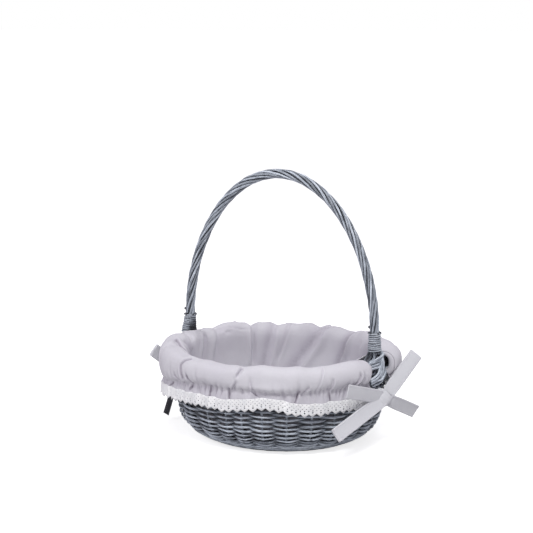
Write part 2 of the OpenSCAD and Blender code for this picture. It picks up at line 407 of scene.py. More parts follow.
def lace_cotton(name):
    m = Shading(name, 0.9)
    knit = m.add("ShaderNodeTexVoronoi", {"Vector": m.place(), "Scale": 1500})
    broad = m.noise(m.place(), 90, 3, 0.5)
    return m.made({"Base Color": m.ramp(broad, [(0.3, (0.88, 0.89, 0.9)), (0.6, (0.98,) * 3)]),
                   "Normal": m.bump(knit.outputs["Distance"], 0.8, 0.0004), "Sheen Weight": 0.2})


def elastic_knit(name):
    m = Shading(name, 0.85)
    split = m.add("ShaderNodeSeparateXYZ", {"Vector": m.place()})
    ribs = m.math("SINE", m.math("MULTIPLY", split.outputs["Z"], TURN / 0.0008))
    return m.made({"Base Color": m.ramp(ribs, [(0.0, (0.66, 0.66, 0.64)), (1.0, (0.86, 0.86, 0.84))]),
                   "Normal": m.bump(ribs, 0.6, 0.0003)})


WILLOW = willow("willow", 1.2)
WILLOW_DARK = willow("willow_dark", 0.88)
WILLOW_PALE = willow("willow_pale", 0.88)
CORE_WILLOW = object_willow("core_willow")
LINER_CLOTH = woven_cloth("liner_cloth", (0.625, 0.615, 0.65), (0.55, 0.53, 0.58),
                          (0.13, 0.105, 0.14), 0.00075, 0.35, 0.2)
TIE_CLOTH = woven_cloth("tie_cloth", (0.64, 0.645, 0.67), (0.58, 0.58, 0.615), (0.2, 0.2, 0.22),
                        0.0008, 0.5, 0.2)
SHADED_TIE = woven_cloth("shaded_tie", (0.17, 0.17, 0.18), (0.11, 0.11, 0.12), (0.02, 0.02, 0.02),
                         0.0008, 0.5, 0.05)
THREAD = woven_cloth("thread", (0.66, 0.65, 0.70), (0.58, 0.56, 0.62), (0.2, 0.2, 0.2),
                     0.0004, 0.5, 0.1)
LACE = lace_cotton("lace")
ELASTIC = elastic_knit("elastic")


# ---------------------------------------------------------------- wicker: wall, stakes, foot, base, border

UP = (0, 0, 1)
SAMPLES = 8     # points of a woven rod from one stake to the next


def wall_point(u, arc, depth):
    a, z = under(height_at(arc), depth)
    return oval(a, stake_angle(u), z)


def wall_painted_shade(points):
    """Painted shade: 0 on the outside of the wall, rising to 1 inside it, where the rods lie in shade."""
    a = np.hypot(points[..., 0], points[..., 1] / RATIO)
    z = points[..., 2]
    slope = FOOT_INSET / FOOT_SWEEP * np.exp(-z / FOOT_SWEEP)
    depth = (wall_a(z) - a) / np.sqrt(1 + slope * slope)
    return np.clip((depth - 1.6) / 4.6, 0, 1)


def weave_row(rods, arc, phase):
    """One round of plain weave: in front of one stake and behind the next."""
    rng = rods.rng
    u = np.arange(0, STAKES, 1 / SAMPLES)
    angle = u * TURN / STAKES
    behind = 0.5 - 0.5 * np.cos(math.pi * (u + phase))
    depth = FRONT_DEPTH + (BEHIND_DEPTH - FRONT_DEPTH) * behind
    depth = depth + ripple(angle, [(7, 0.12), (17, 0.12), (29, 0.1)], rng)
    rise = ripple(angle, [(3, 0.2), (5, 0.2), (11, 0.2), (23, 0.16), (37, 0.1)], rng)
    start = rng.integers(0, STAKES)
    pieces = 3
    radius = WEAVER_R * (1 + ripple(angle, [(4, 0.05), (9, 0.05), (31, 0.04), (53, 0.03)], rng))
    path = wall_point(u, arc + rise, depth)
    length = STAKES // pieces * SAMPLES
    order = np.roll(np.arange(len(u)), -start * SAMPLES)
    for k in range(pieces):
        last = len(u) if k == pieces - 1 else (k + 1) * length
        run = order[k * length:last]
        run = np.append(run, order[last % len(u)])
        taper = np.ones(len(run))
        taper[0] = taper[-1] = 0.55
        rods.add(path[run], radius[run] * rng.uniform(0.92, 1.06) * taper, UP, recess=wall_painted_shade)


def wale_row(rods, arc, thick, swing):
    """Three rods worked together: each passes in front of two stakes and behind one."""
    rng = rods.rng
    u = np.arange(0, STAKES + 1e-9, 1 / SAMPLES)
    angle = u * TURN / STAKES
    for k in range(3):
        p = (u - k) % 3
        gap = np.minimum(p, 3 - p)
        behind = np.where(gap < 1, 0.5 + 0.5 * np.cos(math.pi * gap), 0)
        depth = FRONT_DEPTH + (BEHIND_DEPTH - FRONT_DEPTH) * behind
        q = np.where(p < 0.5, p + 3, p)
        lift = np.where(q < 2.5, -np.cos(math.pi * (q - 0.5) / 2), np.cos(math.pi * (q - 2.5)))
        level = arc + swing * lift + ripple(angle, [(3, 0.12), (7, 0.12), (13, 0.1)], rng)
        rods.add(wall_point(u, level, depth), thick * rng.uniform(0.94, 1.05), UP,
                 recess=wall_painted_shade)


def make_wall():
    rods = Rods(11)
    low, high = arc_at(weave_box[0][2]) + 1.3, arc_at(WALL_TOP) - 0.9
    rows = int(round((high - low) / ROW_PITCH))
    for r in range(rows + 1):
        weave_row(rods, low + r * (high - low) / rows, r % 2)
    place(rods.build("wall_woven_rods", WILLOW), "willow", "wall_weave")


def make_foot():
    rods = Rods(12)
    top = arc_at(foot_box[1][2])
    rounds = 3
    for r in range(rounds):
        wale_row(rods, 2.9 + r * (top - 3.6) / (rounds - 0.6), 1.5 if r == 0 else 1.36, 1.75)
    place(rods.build("foot_waled_rods", WILLOW), "willow_dark", "foot_wale")


def make_stakes():
    rods = Rods(13)
    for i in range(STAKES):
        z = np.linspace(2.5, WALL_TOP + 1.2, 26)
        a, height = under(z, STAKE_DEPTH)
        a = np.concatenate([[BASE_EDGE + 1.6], a])
        height = np.concatenate([[4.6], height])
        lean = rods.rng.uniform(-0.5, 0.5) / ARC * np.linspace(0, 1, len(a))
        angle = stake_angle(i) + lean
        outward = np.array([math.cos(stake_angle(i)), math.sin(stake_angle(i)), 0])
        side = np.cross(outward, UP)
        rods.add(oval(a, angle, height), np.linspace(1.5, 1.32, len(a)), side,
                 tone=rods.rng.uniform(0.55, 1))
    place(rods.build("upright_stakes", WILLOW_PALE), "willow_dark", "side_stakes")


def make_base():
    """A cross of sticks that open out into spokes, with rounds of weave between them."""
    spokes, rounds = 16, 24
    stick_z, weaver_r, swing_high = 4.0, 1.33, 2.45
    cross, first_round = 15, 20     # half size of the cross, and of the first round of weave
    long_sticks, short_sticks, weave = Rods(14), Rods(15), Rods(16)
    reach = BASE_EDGE + 1.0
    offsets = [-10.5, -3.5, 3.5, 10.5]
    for sticks, along_x in ((long_sticks, True), (short_sticks, False)):
        for k, off in enumerate(offsets):
            points = []
            for sign in (-1, 1):
                centre_angle = 0 if along_x else math.pi / 2
                fan = (k - 1.5) * TURN / spokes * (1 if along_x else -1)
                angle = centre_angle + fan
                far = np.array([reach * math.cos(angle), reach * RATIO * math.sin(angle), 0])
                near = np.array([cross, off, 0] if along_x else [off, cross, 0])
                if sign < 0:
                    flip = np.array([-1, 1, 1] if along_x else [1, -1, 1])
                    far, near = far * flip, near * flip
                middle = near + (far - near) * 0.25
                middle += (near * 1.35 - middle) * 0.4
                points.append([near, middle, far])
            centre = np.array([0, off, 0] if along_x else [off, 0, 0])
            path = points[0][::-1] + [centre] + points[1]
            path = smooth_curve([p + np.array([0, 0, stick_z]) for p in path], 44)
            sticks.add(path, 1.55 if along_x else 2.1, UP)
    place(long_sticks.build("base_sticks_long", WILLOW_DARK), "willow_dark", "base_long_sticks")
    place(short_sticks.build("base_sticks_short", WILLOW_DARK), "willow_dark", "base_short_sticks")
    for r in range(rounds):
        a = first_round + (BASE_EDGE + 3.5 - first_round) * r / (rounds - 1)
        u = np.arange(0, spokes, 1 / SAMPLES)
        swing = np.cos(math.pi * (u + r % 2)) * swing_high
        angle = u * TURN / spokes
        shape = a + ripple(angle, [(3, 0.2), (7, 0.2)], weave.rng)
        weave.add(oval(shape, angle, stick_z + swing), weaver_r, UP, 7, closed=True)
    place(weave.build("base_woven_rods", WILLOW), "willow", "base_weave")


def make_border():
    """A rope of six rods laid round the rim."""
    rods = Rods(17)
    strands, turns, n, strand_r = 6, 9, 420, 1.62
    angle = np.arange(n) * TURN / n
    reach = BORDER_R - strand_r
    for k in range(strands):
        roll = turns * angle + k * TURN / strands + ripple(angle, [(5, 0.15), (9, 0.1)], rods.rng)
        wobble = reach * (1 + ripple(angle, [(13, 0.03), (21, 0.03)], rods.rng))
        path = oval(BORDER_A + wobble * np.cos(roll), angle, BORDER_Z + wobble * np.sin(roll))
        rods.add(path, strand_r, UP, 7, closed=True)
    place(rods.build("border_rope", WILLOW_DARK), "willow_dark", "rim_border")


# ---------------------------------------------------------------- handle

CORE_R = 2.45
HANDLE_RODS = 8
LEG_X = (core_box[1][0] - core_box[0][0]) / 2 - CORE_R
ROD_R = 1.5
TWIST_R = 4.1           # from the middle of the rope to the middle of a twisted rod
TWIST_LAY = 125.0       # length of rope in which a rod goes once round
SHOULDER = 1.05         # 1 is a half ellipse, more is more pointed
SPRING_Z = 128.0        # height where the arch begins
ROD_END = 106.0
COLLAR_LOW, COLLAR_HIGH = collar_box[0][2], collar_box[1][2]
COLLAR_TURNS = 9
COLLAR_TOP_R = 5.7
# Cut rod ends above a collar: angle round the leg, height above the collar, reach outwards.
NUBS = [(205, 0.3, 2.6), (250, 1.0, 1.8), (10, 0.6, 2.8), (330, 0.2, 2.0), (120, 0.8, 2.2),
        (185, 6.5, 2.6), (60, 0.4, 2.2)]


def handle_line(count):
    """The middle of the handle's rope, up one leg, over the arch and down the other."""
    top = core_box[1][2] - CORE_R
    t = np.linspace(0, math.pi, 60)
    arch = [(LEG_X * math.cos(v), 0, SPRING_Z + (top - SPRING_Z) * math.sin(v) ** SHOULDER)
            for v in t]
    legs = [(LEG_X, 0, ROD_END - 3), (LEG_X, 0, ROD_END + 10)]
    other = [(-x, y, z) for x, y, z in reversed(legs)]
    return smooth_curve(legs + arch + other, count)


def make_handle():
    line = handle_line(260)
    travel = travelled(line)
    tangent = unit(np.gradient(line, axis=0))
    across = np.array([0.0, 1.0, 0.0])
    out = unit(np.cross(tangent, across))
    for k in range(HANDLE_RODS):
        rods = Rods(20 + k)
        rng = rods.rng
        loose = sum(rng.uniform(0.4, 1) * 0.09 * np.sin(TURN * travel / length + rng.uniform(0, TURN))
                    for length in (47, 83, 131))
        turn = TURN / HANDLE_RODS * (k + 1) - TURN * travel / TWIST_LAY + loose
        lift = TWIST_R + sum(0.11 * np.sin(TURN * travel / length + rng.uniform(0, TURN))
                             for length in (38, 71))
        path = line + lift[:, None] * (np.cos(turn)[:, None] * out + np.sin(turn)[:, None] * across)
        radius = ROD_R * rng.uniform(0.9, 1.03) * np.ones(len(line))
        for joint in np.arange(rng.uniform(10, 60), travel[-1], rng.uniform(62, 95)):
            radius = radius * (1 + 0.09 * bell(travel - joint, 2.2))

        # Painted shade: each rod darker where it turns in towards the middle of the rope, between the
        # other rods.
        def groove_shade(ring):
            gone = np.linalg.norm(ring - line[:, None, :], axis=-1)
            return np.clip(1.15 - (gone - 3.0) / 1.9, 0, 1)

        rods.add(path, radius, across, tone=rng.uniform(0.2, 1.0), recess=groove_shade)
        material, finish = ((WILLOW, "willow"), (WILLOW_PALE, "willow_pale"))[(k + 1) % 2]
        place(rods.build("handle_twisted_rod_%d" % (k + 1), material), finish,
              "handle_rod_%d" % (k + 1))


def make_collar(side, name, node, foot_r, lean):
    """Turns of cane round the leg, wider at the foot, over a dark sleeve that paints the shade between the
    turns, with cut rod ends above.
    """
    rods = Rods(30 + side)
    rng = rods.rng
    turns = np.linspace(0, COLLAR_TURNS, COLLAR_TURNS * 28)
    down = 1 - turns / COLLAR_TURNS
    pitch = (COLLAR_HIGH - COLLAR_LOW) / COLLAR_TURNS
    reach = COLLAR_TOP_R + (foot_r - COLLAR_TOP_R) * down**1.3
    angle = TURN * turns
    reach = reach + 0.16 * np.sin(2 * angle + 1) + 0.12 * np.sin(angle * 0.77 + 2)
    z = COLLAR_LOW + pitch * turns * 0.965 + pitch * 0.45 + 0.2 * np.sin(angle * 1.3)
    x = side * (LEG_X + lean * down) + reach * np.cos(angle)
    path = np.stack([x, reach * np.sin(angle), z], 1)

    # Painted shade: the cane darker on its inner side, against the leg.
    def groove_shade(ring):
        gone = np.linalg.norm(ring[..., :2] - np.array([side * LEG_X, 0]), axis=-1)
        return np.clip(1.1 - (gone - reach[:, None] + 0.3) / 0.9, 0, 1)

    rods.add(path, pitch * 0.43, UP, tone=0.95, recess=groove_shade)
    # A sleeve in the darkest tone and full painted shade, seen as shade in the gaps between the turns.
    level = np.linspace(COLLAR_LOW + 0.8, COLLAR_HIGH - 0.8, 20)
    part = 1 - (level - COLLAR_LOW) / (COLLAR_HIGH - COLLAR_LOW)
    sleeve = np.stack([side * (LEG_X + lean * part), 0 * level, level], 1)
    rods.add(sleeve, COLLAR_TOP_R + (foot_r - COLLAR_TOP_R) * part**1.3 - 0.35, (0, 1, 0), 20,
             tone=0.0, recess=lambda ring: np.ones(ring.shape[:2]))
    for where, lift, out in NUBS:
        a = math.radians(where)
        outward = np.array([math.cos(a), math.sin(a), 0])
        start = np.array([side * LEG_X, 0, COLLAR_HIGH - 1.0 + lift]) + outward * 4.6
        tip = start + outward * out + np.array([0, 0, 1.7])
        rods.add(smooth_curve([start, (start + tip) / 2, tip], 4), rng.uniform(1.15, 1.5),
                 (0, 1, 0.01), 7, tone=0.0, recess=lambda ring: np.full(ring.shape[:2], 0.45))
    place(rods.build(name, WILLOW_PALE), "willow_pale", node)


# Rod ends that splay from the collar and are woven into the border, for the foot at +X.
FOOT_RODS = [
    [(112.5, -3, 107), (113.2, -9, 104.4), (115, -18, 103.0), (117, -28, 101)],
    [(115.5, -5, 107), (117.0, -10, 104.4), (119.2, -18, 102.6), (120.3, -30, 101)],
    [(118.5, -5.5, 107), (120.8, -9, 103.6), (122.0, -15, 101.2), (121.6, -30, 99.6)],
    [(120, 7, 107.5), (123.6, 9.5, 102.6), (125.6, -1, 101.8), (125.4, -12, 101.0),
     (123.4, -27, 99.8)],
    [(120.5, 3.0, 107), (124.6, 4.0, 101.6), (126.4, -0.4, 95.4), (126.8, -2.8, 89.6),
     (126.2, -2.2, 82), (125.0, -1.6, 75.5)],
    [(120.0, 5.0, 106), (124.0, 5.6, 99.6), (126.0, 5.2, 92.6), (126.0, 3.6, 86.0), (125.0, 2.6, 77.5)],
    [(119.0, 4.5, 104), (122.2, 7.2, 97), (124.2, 9.9, 89), (124.7, 11.6, 83.5), (124.2, 9, 78.5)],
    [(124.6, 0.5, 98.6), (125.6, -7, 98.2), (125.1, -18, 98.8), (122.8, -31, 99.0)],
    [(124.6, 0, 95.4), (125.8, -8, 95.0), (125.2, -18, 95.6), (123, -31, 96.2)],
    [(124.6, -1, 92.2), (125.7, -8, 91.8), (125.1, -18, 92.4), (123, -31, 93.2)],
    [(125.0, -5.5, 93.0), (126.8, -8.6, 88.6), (126.6, -10.8, 85.0), (125.8, -15.5, 82.8),
     (124.0, -28, 81.0)],
    [(126.4, -3.6, 86.4), (127.0, -6.4, 83.0), (126.4, -13, 80.2), (124.4, -27, 78.4)],
    [(122.4, 27, 79.0), (124.8, 14, 78.2), (126.4, 4.5, 77.4), (126.8, -1.5, 76.2),
     (126.0, -10, 76.6), (124.4, -26, 76.0)],
    [(123.2, 24, 84.6), (125.2, 14, 81.8), (126.4, 7, 78.8), (126.4, -0.5, 74.0),
     (124.9, -8, 72.2), (123.6, -22, 72.4)],
]


def make_foot_rods(side, name, node):
    rods = Rods(40 + side)
    for points in FOOT_RODS:
        path = smooth_curve([(side * x, side * y, z) for x, y, z in points], step=1.6)
        radius = np.full(len(path), rods.rng.uniform(1.25, 1.45))
        # Painted shade: each rod darker the further it runs in under the border and the roll.
        rods.add(path, radius, (side * 1.0, 0.13, 0.21), tone=rods.rng.uniform(0.4, 1),
                 recess=lambda ring: np.clip((124.2 - np.abs(ring[..., 0])) / 5.5, 0, 0.85))
    place(rods.build(name, WILLOW), "willow", node)


# ---------------------------------------------------------------- liner

GATHER_Z = elastic_box[0][2] + 0.6
HEM_Z = ruffle_box[0][2] + 0.3
ELASTIC_A = -elastic_box[0][1] / RATIO

_inner = [under(z, LINER_DEPTH) for z in (1.5, 5, 10, 18, 30, 45, 60, 72)]
LINER_CUT = [(float(a), float(z)) for a, z in _inner] + [
    (111.2, 84), (110.9, 92), (112.6, 98.2), (116.6, 102.4), (122.2, 103.6), (128.0, 101.6),
    (132.3, 97.0), (134.3, 90.8), (134.0, 84.6), (131.8, 79.8), (ELASTIC_A + 3.0, GATHER_Z),
    (ELASTIC_A + 2.7, GATHER_Z - 2.2), (ELASTIC_A + 3.2, GATHER_Z - 5), (ELASTIC_A + 3.6, GATHER_Z - 8),
    (ELASTIC_A + 3.8, HEM_Z)]
_cut = smooth_curve(LINER_CUT, 900)
_s = travelled(_cut)
_along = unit(np.gradient(_cut, axis=0))
_normal = np.stack([-_along[:, 1], _along[:, 0]], 1)
CUT_LENGTH = _s[-1]
CREST = _s[np.argmax(_cut[:, 1])]
CREST_TOP = _cut[:, 1].max()
GATHER = _s[CREST < _s][np.argmin(np.abs(_cut[CREST < _s][:, 1] - GATHER_Z))]
THROAT = _s[_s < CREST][np.argmin(np.abs(_cut[_s < CREST][:, 1] - 92))]


def inner_s(z):
    part = _s < CREST
    return np.interp(z, _cut[part][:, 1], _s[part])


def outer_s(z):
    part = _s >= CREST
    return np.interp(-np.asarray(z, float), -_cut[part][:, 1], _s[part])


def window(value, low, high, soft):
    """1 from low to high, falling smoothly to 0 over the length soft outside them."""
    rise = np.clip((value - low) / soft + 1, 0, 1)
    fall = np.clip((high - value) / soft + 1, 0, 1)
    return rise * rise * (3 - 2 * rise) * fall * fall * (3 - 2 * fall)


# Creases and folds: points as angle in degrees and height, width, depth, ridge beside it, its side. Each
# is also darkened with painted shade.
OUTER_CREASES = [
    ([(-119.6, 103.2), (-121.0, 100), (-122.9, 93.5), (-121.3, 82.5)], 1.2, 2.8, 0.8, -1),
    ([(-117.6, 84), (-114.6, 76.5), (-116.8, 69)], 1.2, 2.4, 0.6, -1),
    ([(-85.6, 103.4), (-85.8, 100), (-86.6, 94.5)], 1.0, 2.3, 1.0, -1),
    ([(-87.2, 85), (-89.6, 77)], 1.0, 2, 0.8, -1),
    ([(-128.2, 82.5), (-122.8, 77.4)], 1.2, 2.0, 0.5, -1),
    ([(-134, 71), (-136.6, 63)], 1.3, 2.0, 0.5, -1),
    ([(-102.2, 75.5), (-102.6, 63)], 1.2, 2.2, 0.68, -1),
    ([(-91.6, 76.5), (-91.0, 63)], 1.2, 2, 0.68, -1),
    ([(-79.5, 75.5), (-75.5, 66)], 1.3, 1.4, 0.81, -1),
    ([(-56.4, 78), (-57.6, 75), (-59.2, 63)], 1.2, 2.2, 0.81, 1),
    ([(-52.5, 81.5), (-55.5, 76.2)], 1, 1.9, 0.68, 1),
    ([(-40.0, 88), (-41.2, 76), (-40.6, 64)], 1.1, 1.9, 0.68, 1),
    ([(-24.2, 90.5), (-25.2, 86), (-27.4, 80.6)], 0.94, 2.6, 1.4, 1),
    ([(-21.5, 90), (-21.0, 83)], 1.1, 1.4, 0.68, 1),
    ([(-150, 103), (-151, 95), (-149, 84)], 1.2, 2.3, 0.94, 1),
    ([(28, 103), (27, 93), (30, 82)], 1.1, 2.8, 1.1, -1),
    ([(47, 102), (49, 92)], 1.1, 2, 0.81, 1),
    ([(83, 103), (84, 95), (82, 86)], 1.2, 2.3, 0.94, 1),
    ([(111, 103), (110, 94)], 1.1, 1.9, 0.81, -1),
    ([(139, 103), (141, 93), (138, 82)], 1.2, 2.6, 1.1, 1),
    ([(160, 102), (158, 90)], 1.1, 2, 0.81, 1),
]
INNER_FOLDS = [
    ([(131.2, 103.4), (131.7, 90), (131.8, 60)], 1.8, 2.6, 2.4, 1),
    ([(116.2, 103.4), (118.0, 95), (122.6, 54), (124, 40)], 3.0, 3.4, 3.0, -1),
    ([(107.3, 103.4), (110, 85), (114.3, 64)], 1.3, 1.8, 1.2, -1),
    ([(83.5, 103), (92, 80), (102.1, 55), (106, 40)], 4.2, 4.2, 4.2, -1),
    ([(61.5, 103.4), (66, 88), (71.9, 67), (75, 50)], 2.6, 4.4, 5.2, -1),
    ([(150, 98), (146, 99.5), (139, 98)], 3.0, 1.6, 1.0, 1),
    ([(172, 92), (173.5, 76), (176, 58)], 3.4, 2.6, 2.2, 1),
    ([(-160, 98), (-166, 84), (-172, 66)], 3.4, 3.0, 2.4, 1),
    ([(156, 101), (158, 84), (160, 60)], 4.0, 2.4, 2.0, 1),
    ([(40, 102), (44, 80), (46, 56)], 3.4, 3.2, 3.4, 1),
    ([(20, 98), (22, 78), (26, 54)], 3.6, 2.6, 2.8, -1),
    ([(-30, 86), (-32, 80), (-34, 50)], 3.6, 3.2, 3.0, 1),
    ([(-58, 86), (-60, 76), (-62, 50)], 4.2, 3.2, 3.4, 1),
    ([(-88, 86), (-87, 76), (-84, 50)], 3.2, 3.0, 2.8, -1),
    ([(-112, 86), (-114, 76), (-116, 50)], 4.2, 3.0, 3.0, 1),
    ([(-138, 86), (-137, 76), (-135, 50)], 3.4, 3.0, 2.8, -1),
]
# The fold in which the front roll's left end runs down into the inside of the basket, drawn as a groove
# darkened with painted shade.
END_FOLDS = [([(-156, 103.6), (-149, 102.2), (-143, 98.5), (-138, 93), (-135, 84)], 5.0, 3.0, 0.8, -1)]
# Height of the crest round the rim, by angle in degrees.
CREST_LEVEL = [(-180, 109), (-172, 109.5), (-164, 107.5), (-150, 104.5), (-138, 102.5), (-125, 100.8),
               (-113, 99.6), (-102, 100.2), (-90, 101.2), (-86, 100.4), (-82, 103), (-75, 104.6),
               (-68, 103.4), (-61, 101.8), (-50, 102), (-39, 102), (-30, 103.9), (-19, 103.6),
               (8, 105), (20, 107), (27, 104.5), (35, 106.5), (44, 104.8), (52, 108), (60, 106.3),
               (65.5, 102.2), (71, 103.4), (77, 105.8), (85.5, 105.2), (90, 101.4), (94.4, 103.8),
               (102, 103), (108, 104.6), (114.8, 100.4), (119.5, 105.2), (126.5, 105),
               (131, 100.6), (134.5, 105.6), (140, 107), (147, 106.6), (155.3, 103.6), (160, 104),
               (166, 103.4), (172, 104.5), (176, 105), (180, 109)]
# Height of the cloth's hem, and how far the gathers sag under the elastic, by angle in degrees.
HEM_LEVEL = [(-180, 60.5), (-156, 58.5), (-134, 61.6), (-121, 62.9), (-109, 64.6), (-96, 63.9),
             (-89, 64.8), (-82, 67.6), (-74.5, 69.9), (-69.5, 70.4), (-64.6, 68), (-59.6, 64.8),
             (-51, 62.7), (-40, 64.2), (-34, 64.7), (-20, 63), (10, 62), (30, 60), (50, 62.5),
             (70, 64), (110, 64), (140, 62), (160, 61), (180, 60.5)]
SAG = [(-180, 8), (-165, 9.5), (-150, 8.5), (-135, 6.2), (-120, 3.4), (-108, 0.6), (-100, 0),
       (0, 0), (15, 2), (35, 2), (55, 0), (130, 0), (160, 4), (180, 8)]
# Soft rolls just above the elastic: angle, half width in degrees, how far they stand out.
DROOP = [(-70, 11, 3.0), (-140, 9, 1.0), (60, 14, 1.8), (120, 12, 1.4)]
# Places where the cloth stands further out: angle, half width in degrees, roll, frill.
BULGES = [(24, 24, 5.6, 4.5), (-154, 25, 7.6, 9.0), (-60, 9, 1.2, 1.8), (-100, 12, 0.4, 0.8),
          (100, 20, 1.0, 2.0)]


def gather_list():
    """Gathers along the elastic: place along the rim, depth, width, reach above and below, drift."""
    rng = np.random.default_rng(51)
    found = []
    arc = -math.pi * ARC
    while arc < math.pi * ARC:
        degrees = math.degrees(arc / ARC)
        tight = -57 < degrees < -24 or -132 < degrees < -100 or 30 < degrees < 70
        calm = -80 < degrees < -60
        arc += rng.uniform(4.0, 6.4) if tight else rng.uniform(5.0, 9.0)
        depth = rng.uniform(1.6, 2.8) if tight else rng.uniform(1.2, 2.8)
        found.append((arc / ARC, depth * (0.7 if calm else 1), rng.uniform(0.9, 1.6),
                      rng.choice([4, 6, 10, 15]), rng.uniform(5, 16), rng.uniform(-0.3, 0.3)))
    return found


GATHERS = gather_list()


def path_offset(theta, s, points, to_s):
    """Signed distance along the rim from a fold's line, and how present the fold is there."""
    at = np.array([to_s(z) for _, z in points], float)
    angle = np.radians([d for d, _ in points])
    order = np.argsort(at)
    line = np.interp(s, at[order], angle[order])
    off = wrap(theta[:, None] - line[None, :]) * ARC
    return off, window(s, at.min(), at.max(), 5.0)[None, :]


def turned(degrees, middle):
    return (degrees - middle + 180) % 360 - 180


def liner_surface(theta, s):
    """Half length, height and painted shade of the liner at angles theta and lengths s along its cut."""
    theta, s = np.asarray(theta, float), np.asarray(s, float)
    a = np.interp(s, _s, _cut[:, 0])[None, :]
    z = np.interp(s, _s, _cut[:, 1])[None, :]
    na = np.interp(s, _s, _normal[:, 0])[None, :]
    nz = np.interp(s, _s, _normal[:, 1])[None, :]
    rng = np.random.default_rng(50)
    t = theta[:, None]
    near_crest = bell(s - CREST, 15)[None, :]
    on_roll = window(s, CREST - 6, GATHER - 12, 9)[None, :]
    on_wall = window(s, 16, THROAT - 2, 22)[None, :]
    on_frill = np.clip((s - GATHER) / (CUT_LENGTH - GATHER), 0, 1)[None, :]
    hangs = window(s, GATHER - 4, CUT_LENGTH + 1, GATHER - CREST - 10)[None, :]
    shade = np.zeros((len(theta), len(s)))
    degrees = np.degrees(wrap(theta))
    push = on_roll * ripple(t, [(5, 0.5), (9, 0.5), (14, 0.35), (23, 0.3)], rng)
    push = push + on_wall * (3.0 + ripple(t, [(6, 0.6), (11, 0.6), (17, 0.3)], rng))
    level = np.interp(degrees, *zip(*CREST_LEVEL)) + ripple(theta, [(21, 0.25), (33, 0.2)], rng)
    push = push + near_crest * (level - CREST_TOP)[:, None]
    for middle, half, depth in DROOP:
        push = push + (depth * bell(degrees - middle, half))[:, None] * bell(
            s - (GATHER - 7), 4.5)[None, :]
    for middle, half, roll, frill in BULGES:
        there = bell(turned(degrees, middle), half)[:, None]
        push = push + there * (roll * window(s, CREST + 16, GATHER - 4, 16)[None, :]
                               + frill * on_frill ** 0.8)
    for folds, to_s in ((OUTER_CREASES, outer_s), (INNER_FOLDS, inner_s), (END_FOLDS, inner_s)):
        for points, width, depth, ridge, side in folds:
            off, here = path_offset(theta, s, points, to_s)
            inner = folds is INNER_FOLDS
            calm = 1 - 0.85 * near_crest if inner else 1
            push = push - here * depth * bell(off, np.where(off * side > 0, width, 2.3 * width))
            push = push + here * calm * ridge * bell(off - side * 2.1 * width, 1.5 * width)
            # Painted shade: broad beside an inner fold, narrow on the steep side of a crease.
            if inner:
                dark = 0.13 * depth * bell(off + side * 1.4 * width, 3.0 * width)
            else:
                dark = 0.28 * min(depth, 3) * bell(off - side * 0.55 * width, 0.75 * width)
            shade = shade + here * dark
    for at, depth, width, above, below, drift in GATHERS:
        q = s - GATHER
        off = wrap(t - at) * ARC + (drift * q)[None, :]
        reach = np.where(q < 0, bell(q, above), bell(q, below))[None, :]
        dent = reach * bell(off, width * (1 + 0.06 * np.abs(q)))
        # painted shade in each gather
        push, shade = push - depth * dent, shade + 0.2 * depth * dent**2
    seam_off, seam = path_offset(theta, s, [(-44.0, 102.6), (-48.6, 78)], outer_s)
    push = push - seam * 0.9 * bell(seam_off, 0.8) + seam * 0.4 * bell(seam_off - 1.7, 1.0)
    push = push + on_frill * ripple(t, [(31, 0.7), (47, 0.7), (71, 0.4)], rng)
    push = push - np.minimum(0, push + 0.9) * on_wall
    hem = np.interp(degrees, *zip(*HEM_LEVEL)) + ripple(theta, [(29, 0.3), (43, 0.3)], rng)
    sag = np.interp(degrees, *zip(*SAG))[:, None]
    dip = (hem[:, None] - HEM_Z + sag) * on_frill - sag * hangs
    wave = ripple(t, [(9, 0.35), (16, 0.3)], rng) * bell(s - GATHER, 5)[None, :]
    a, z = a + push * na, z + push * nz * (1 - on_frill) + dip + wave
    outside = (s > CREST)[None, :] & (z > HEM_Z - 8)
    a = np.where(outside & (z < GATHER_Z + 8), np.maximum(a, ELASTIC_A + CLOTH + 0.5), a)
    # Painted shade over the frill, which hangs under the roll; the seam is darker along its line.
    shade = shade + 0.27 * np.minimum(1, 3 * on_frill)
    return a, z, np.clip(shade + 0.5 * seam * bell(seam_off, 0.6), 0, 1)


def cut_steps(low, high):
    """Lengths along the cut at which the cloth has a row of points, closer where it is gathered."""
    steps = ((THROAT - 4, 4.5), (CREST + 6, 1.0), (GATHER - 10, 1.5), (GATHER + 3, 0.8),
             (math.inf, 1.1))
    out = [low]
    while out[-1] < high:
        step = next(size for below, size in steps if out[-1] < below)
        out.append(min(high, out[-1] + step))
    return np.array(out)


def edge_angle(y, left=False):
    angle = math.asin(y / (RATIO * (RIM_A - 0.5)))
    return math.copysign(math.pi, y) - angle if left else angle


LEFT_REACH = 8.0      # the front roll runs on past the CAD slot at the left foot
RIGHT_FRONT, RIGHT_BACK = edge_angle(SLOT_FRONT), edge_angle(SLOT_BACK)
LEFT_FRONT, LEFT_BACK = edge_angle(SLOT_FRONT + LEFT_REACH, True), edge_angle(SLOT_BACK, True)
END_ROUND = 9.0       # length over which a roll's end draws in
COLUMN_CLOTH = 1.05   # flat cloth from one column of points to the next
# Turned-in hem of an end: size of the ring, and its step out into the slot.
TUCK = -0.9
OPEN_HEM = [(0.93, 0.3), (0.885, TUCK), (0.885, 0.9), (0.83, 2.3), (0.70, 2.7), (0.58, 1.8),
            (0.54, -0.6)]
CLOSED_HEM = [(0.82, 0.9), (0.72, 0.8), (0.62, TUCK)]


def on_roll_end(s):
    return window(s, THROAT + 6, GATHER - 1.5, 6)[None, :]


def draw_in(a, z, s, share):
    """Draws the roll in towards the border, as at the ends where it is hemmed."""
    f = 1 - (1 - share)[:, None] * on_roll_end(s)
    return BORDER_A + (a - BORDER_A) * f, BORDER_Z + (z - BORDER_Z) * f


